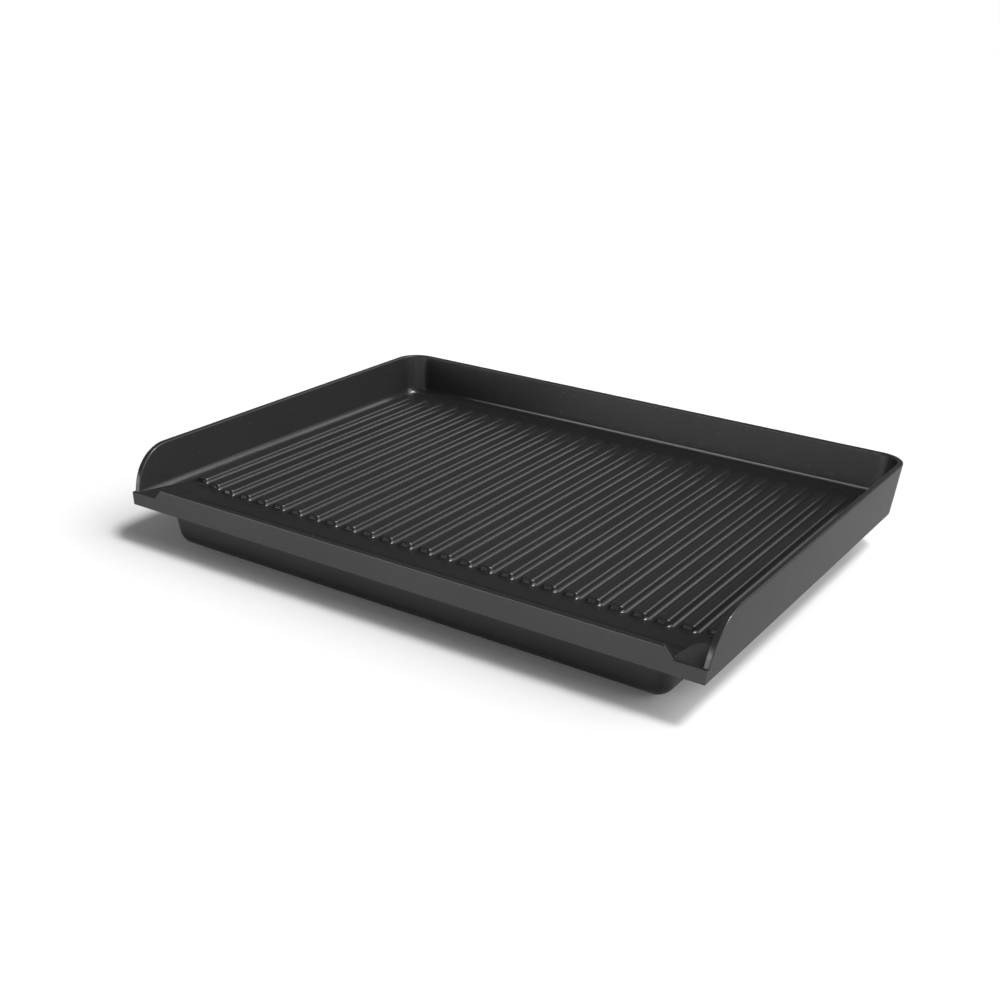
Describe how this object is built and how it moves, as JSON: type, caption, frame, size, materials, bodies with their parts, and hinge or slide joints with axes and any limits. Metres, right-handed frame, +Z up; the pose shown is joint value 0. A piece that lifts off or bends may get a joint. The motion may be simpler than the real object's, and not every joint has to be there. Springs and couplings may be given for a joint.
{
  "type": "electric griddle",
  "caption": "Table griddle with a ribbed cast plate, raised walls, a low front lip and two pouring spouts, which lifts off a shallow moulded base.",
  "frame": {"origin": "on the table, under the middle of the plate", "axes": "+X to the right and +Y to the back, seen from the open front of the plate; +Z up"},
  "size_m": [0.4596, 0.3445, 0.0677],
  "materials": {
    "coated_casting": "die-cast aluminium with a dark grey satin non-stick coating",
    "tub_moulding": "near-black heat-resistant moulding, matte",
    "foot_rubber": "black rubber, matte",
    "pad_silicone": "grey silicone, satin",
    "ceramic": "unglazed off-white steatite",
    "brass": "plated brass, satin",
    "steel": "plain steel, satin",
    "element_sheath": "dull olive-grey annealed sheath",
    "reflector_sheet": "bright rolled sheet",
    "screw_steel": "zinc-plated steel",
    "guard_sheet": "stainless sheet, satin"
  },
  "bodies": {
    "base": {"base_tub": "tub_moulding", "reflector_tray": "reflector_sheet", "reflector_screws": "screw_steel", "foot_screws": "screw_steel", "foot_front_left": "foot_rubber", "foot_front_right": "foot_rubber", "foot_rear_left": "foot_rubber", "foot_rear_right": "foot_rubber", "rest_pad_front_left": "pad_silicone", "rest_pad_front_right": "pad_silicone", "rest_pad_rear_left": "pad_silicone", "rest_pad_rear_right": "pad_silicone"},
    "plate": {"clamp_screws": "screw_steel", "cold_pin_live": "steel", "cold_pin_neutral": "steel", "element_clamp_1": "steel", "element_clamp_2": "steel", "element_clamp_3": "steel", "element_clamp_4": "steel", "element_clamp_5": "steel", "element_clamp_6": "steel", "element_clamp_7": "steel", "element_clamp_8": "steel", "end_seal_live": "ceramic", "end_seal_neutral": "ceramic", "griddle_plate": "coated_casting", "guard_screws": "screw_steel", "heating_element": "element_sheath", "inlet_block": "ceramic", "inlet_guard": "guard_sheet", "inlet_screws": "screw_steel", "link_nuts": "brass", "live_link": "brass", "live_pin": "brass", "neutral_link": "brass", "neutral_pin": "brass"}
  },
  "joints": [
    {"name": "plate_lift", "type": "slide", "parent": "base", "child": "plate", "axis": [0, 0, 1], "range_m": [0, 0.08]}
  ]
}
